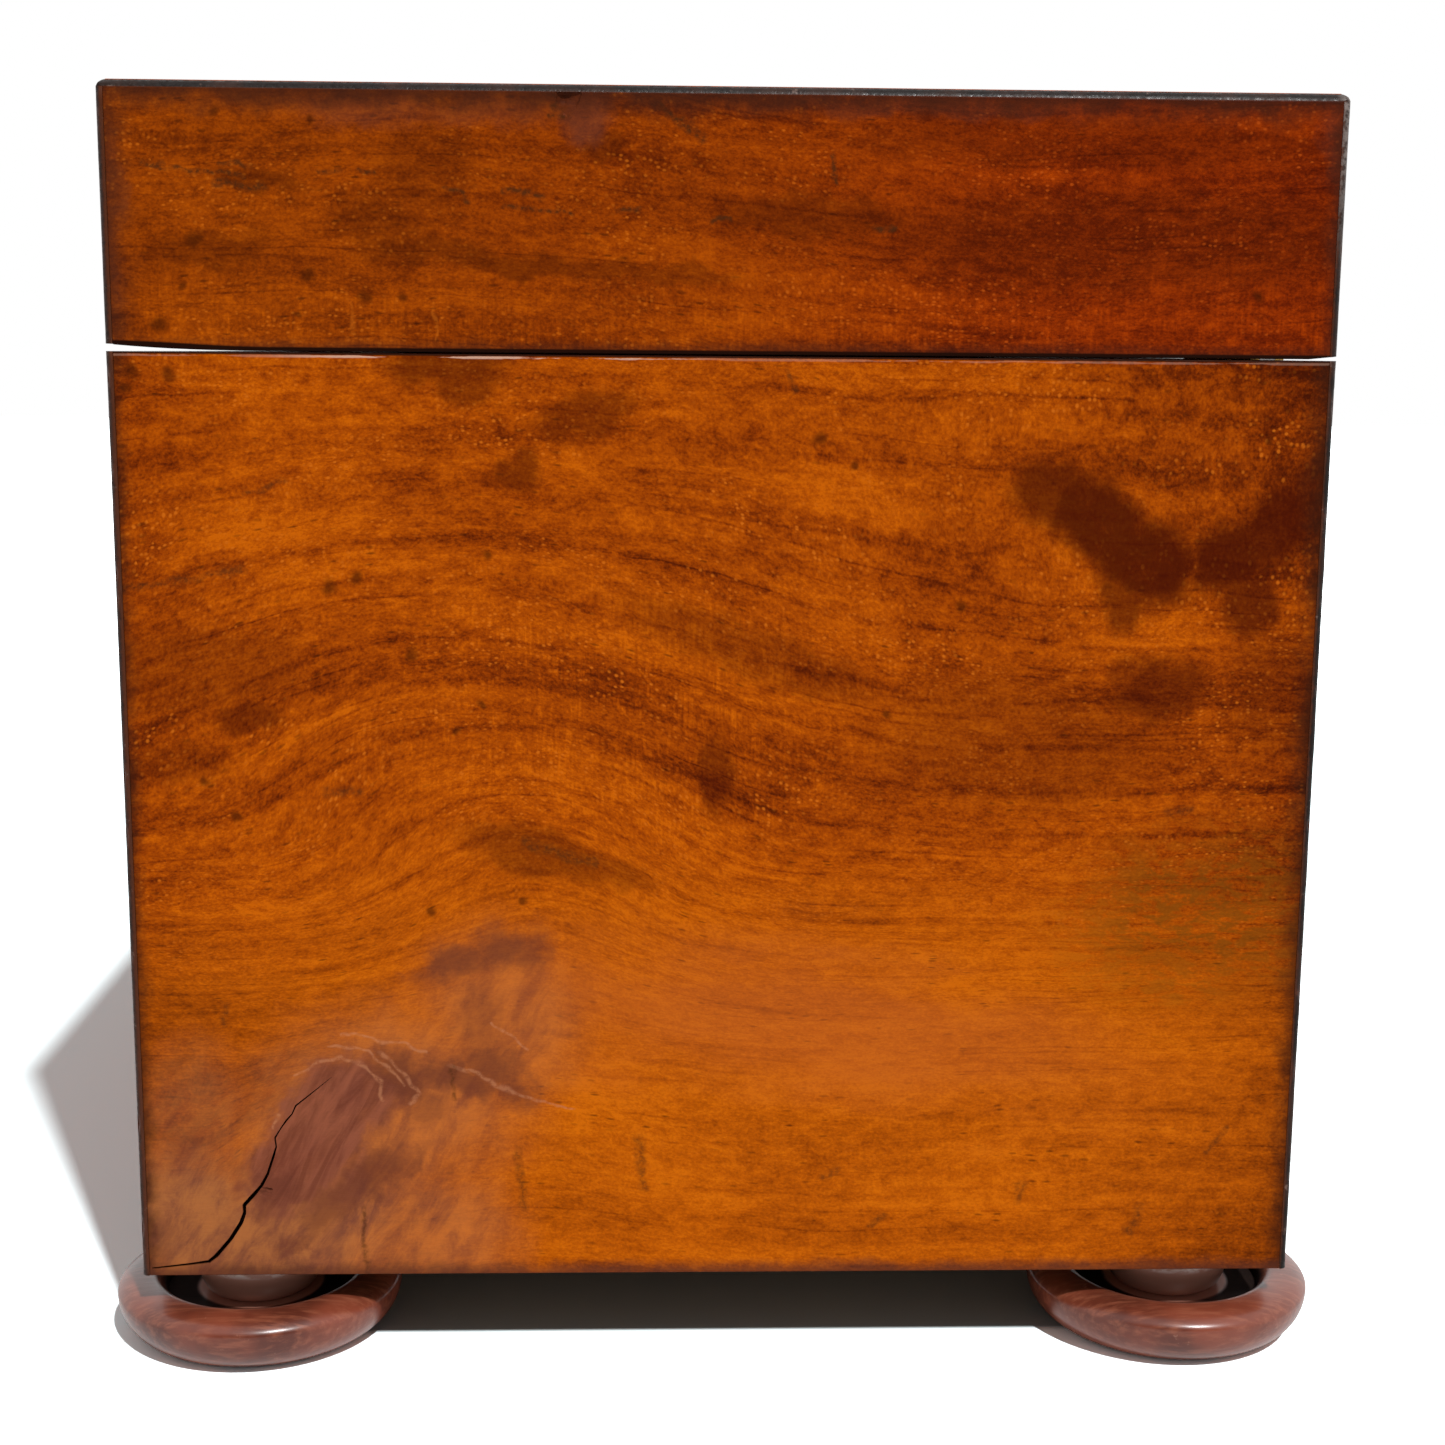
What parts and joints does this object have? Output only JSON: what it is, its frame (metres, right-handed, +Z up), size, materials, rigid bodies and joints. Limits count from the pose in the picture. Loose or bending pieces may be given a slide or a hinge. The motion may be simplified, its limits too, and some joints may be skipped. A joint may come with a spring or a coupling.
{
  "type": "tea caddy",
  "caption": "Rectangular wooden tea caddy on turned bun feet, with a hinged lid, ebonised corner stringing, lined compartments under lift-out inner lids, and a box lock.",
  "frame": {"origin": "on the standing surface, under the middle of the case", "axes": "+Z up, +X along the case from the left end to the right end, +Y from the front with the keyhole to the back with the hinges"},
  "size_m": [0.225, 0.135, 0.1351],
  "materials": {
    "case_wood": "old shellac polish over amber fruitwood",
    "ebonised_string": "ebonised, worn satin",
    "turned_wood": "glossy red-brown polish",
    "lining_wood": "thin dull polish",
    "inner_lid_wood": "old shellac polish",
    "brass": "aged, lightly tarnished",
    "steel": "dull, dark with age",
    "velvet": "short worn pile"
  },
  "bodies": {
    "case": {"front_board": "case_wood", "back_board": "case_wood", "left_end_board": "case_wood", "right_end_board": "case_wood", "base_board": "lining_wood", "case_string_front_left": "ebonised_string", "case_string_front_right": "ebonised_string", "case_string_back_left": "ebonised_string", "case_string_back_right": "ebonised_string", "foot_front_left": "turned_wood", "foot_front_right": "turned_wood", "foot_back_left": "turned_wood", "foot_back_right": "turned_wood", "front_lining": "lining_wood", "back_lining": "lining_wood", "left_end_lining": "lining_wood", "right_end_lining": "lining_wood", "partition": "lining_wood", "left_hinge_case_leaf": "brass", "right_hinge_case_leaf": "brass", "left_hinge_pin": "steel", "right_hinge_pin": "steel", "case_hinge_screws": "brass", "lock_plate": "brass", "lock_box": "brass", "lock_spring": "steel", "key_pin": "steel", "lock_screws": "brass", "keyhole_escutcheon": "brass"},
    "lid": {"lid_top_panel": "case_wood", "lid_front_rail": "case_wood", "lid_back_rail": "case_wood", "lid_left_rail": "case_wood", "lid_right_rail": "case_wood", "lid_string_front_left": "ebonised_string", "lid_string_front_right": "ebonised_string", "lid_string_back_left": "ebonised_string", "lid_string_back_right": "ebonised_string", "lid_edge_string_front": "ebonised_string", "lid_edge_string_back": "ebonised_string", "lid_edge_string_left": "ebonised_string", "lid_edge_string_right": "ebonised_string", "lid_lining": "velvet", "left_hinge_lid_leaf": "brass", "right_hinge_lid_leaf": "brass", "lid_hinge_screws": "brass", "link_plate": "brass", "link_staple": "brass", "link_screws": "brass"},
    "inner_lid_left": {"left_inner_lid": "inner_lid_wood", "left_inner_lid_knob": "turned_wood"},
    "inner_lid_right": {"right_inner_lid": "inner_lid_wood", "right_inner_lid_knob": "turned_wood"},
    "bolt": {"lock_bolt": "brass"}
  },
  "joints": [
    {"name": "lid_hinge", "type": "hinge", "parent": "case", "child": "lid", "pos_m": [0, 0.0635, 0.10867], "axis": [-1, 0, 0], "range_deg": [0, 100]},
    {"name": "left_inner_lid_lift", "type": "slide", "parent": "case", "child": "inner_lid_left", "axis": [0, 0, 1], "range_m": [0, 0.017]},
    {"name": "right_inner_lid_lift", "type": "slide", "parent": "case", "child": "inner_lid_right", "axis": [0, 0, 1], "range_m": [0, 0.017]},
    {"name": "bolt_slide", "type": "slide", "parent": "case", "child": "bolt", "axis": [1, 0, 0], "range_m": [0, 0.004]}
  ]
}
